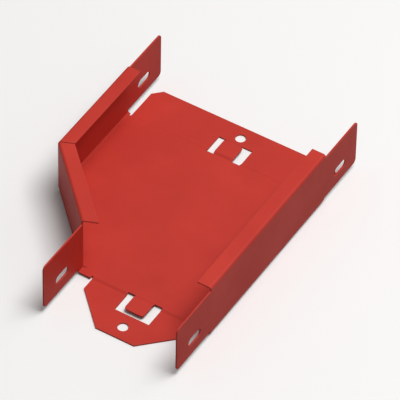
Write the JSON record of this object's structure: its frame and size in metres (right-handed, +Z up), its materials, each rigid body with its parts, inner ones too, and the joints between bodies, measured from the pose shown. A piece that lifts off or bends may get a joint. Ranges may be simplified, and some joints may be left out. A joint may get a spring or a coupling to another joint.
{
  "type": "cable tray reducer",
  "caption": "Folded sheet-steel cable tray reducer: an open channel with inward top flanges that widens along one diagonal wall, with tabs and tongues at its ends to join two trays.",
  "frame": {"origin": "centre of the bounding box, on the floor under the base tabs", "axes": "+X along the cable run from the narrow end to the wide end, +Y toward the stepped side, +Z up out of the channel"},
  "size_m": [0.214, 0.1476, 0.043],
  "materials": {
    "red_paint": "satin red powder coat on folded steel sheet"
  },
  "bodies": {
    "root": {"reducer_body": "red_paint"}
  },
  "joints": []
}
